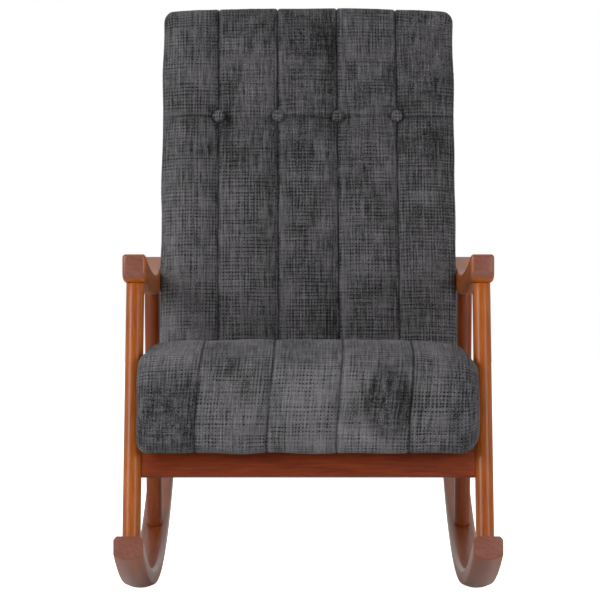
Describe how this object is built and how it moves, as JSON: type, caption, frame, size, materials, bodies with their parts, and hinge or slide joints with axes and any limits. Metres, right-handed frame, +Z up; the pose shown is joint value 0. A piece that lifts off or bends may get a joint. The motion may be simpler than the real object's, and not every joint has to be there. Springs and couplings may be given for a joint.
{
  "type": "rocking chair",
  "caption": "Rocking chair with a glossy honey-brown wooden frame, saddle-shaped arms, curved rockers, and a high channelled back and thick seat in charcoal chenille.",
  "frame": {"origin": "on the floor, in the middle of the chair's width and depth", "axes": "+Z up, the sitter faces -Y, and the sitter's left hand is at +X"},
  "size_m": [0.62, 0.8736, 1.0301],
  "materials": {
    "lacquered_wood": "gloss",
    "plain_wood": "matte",
    "charcoal_fabric": "matte",
    "black_fabric": "matte",
    "foam": "matte",
    "zinc_steel": "satin",
    "spring_steel": "satin",
    "elastic_webbing": "matte"
  },
  "bodies": {
    "root": {"rocker_left": "lacquered_wood", "rocker_right": "lacquered_wood", "front_leg_left": "lacquered_wood", "front_leg_right": "lacquered_wood", "rear_leg_left": "lacquered_wood", "rear_leg_right": "lacquered_wood", "arm_left": "lacquered_wood", "arm_right": "lacquered_wood", "side_rail_left": "lacquered_wood", "side_rail_right": "lacquered_wood", "front_rail": "lacquered_wood", "rear_rail": "lacquered_wood", "foot_dowel_front_left": "plain_wood", "foot_dowel_front_right": "plain_wood", "foot_dowel_rear_left": "plain_wood", "foot_dowel_rear_right": "plain_wood", "barrel_nut_front_left": "zinc_steel", "barrel_nut_front_right": "zinc_steel", "barrel_nut_rear_left": "zinc_steel", "barrel_nut_rear_right": "zinc_steel", "rail_bolt_front_left": "zinc_steel", "rail_bolt_front_right": "zinc_steel", "rail_bolt_rear_left": "zinc_steel", "rail_bolt_rear_right": "zinc_steel", "seat_bolt_front_left": "zinc_steel", "seat_bolt_front_right": "zinc_steel", "seat_bolt_rear_left": "zinc_steel", "seat_bolt_rear_right": "zinc_steel", "back_bolt_lower_left": "zinc_steel", "back_bolt_lower_right": "zinc_steel", "back_bolt_upper_left": "zinc_steel", "back_bolt_upper_right": "zinc_steel", "seat_frame_front": "plain_wood", "seat_frame_rear": "plain_wood", "seat_frame_left": "plain_wood", "seat_frame_right": "plain_wood", "seat_spring_1": "spring_steel", "seat_spring_2": "spring_steel", "seat_spring_3": "spring_steel", "seat_spring_4": "spring_steel", "seat_foam": "foam", "seat_cover": "charcoal_fabric", "seat_dust_cover": "black_fabric", "back_stile_left": "plain_wood", "back_stile_right": "plain_wood", "back_frame_lower_rail": "plain_wood", "back_frame_upper_rail": "plain_wood", "back_webbing_1": "elastic_webbing", "back_webbing_2": "elastic_webbing", "back_webbing_3": "elastic_webbing", "back_webbing_4": "elastic_webbing", "back_foam": "foam", "back_cover": "charcoal_fabric", "back_rear_panel": "charcoal_fabric", "back_button_1": "charcoal_fabric", "back_button_2": "charcoal_fabric", "back_button_3": "charcoal_fabric", "back_button_4": "charcoal_fabric"}
  },
  "joints": []
}
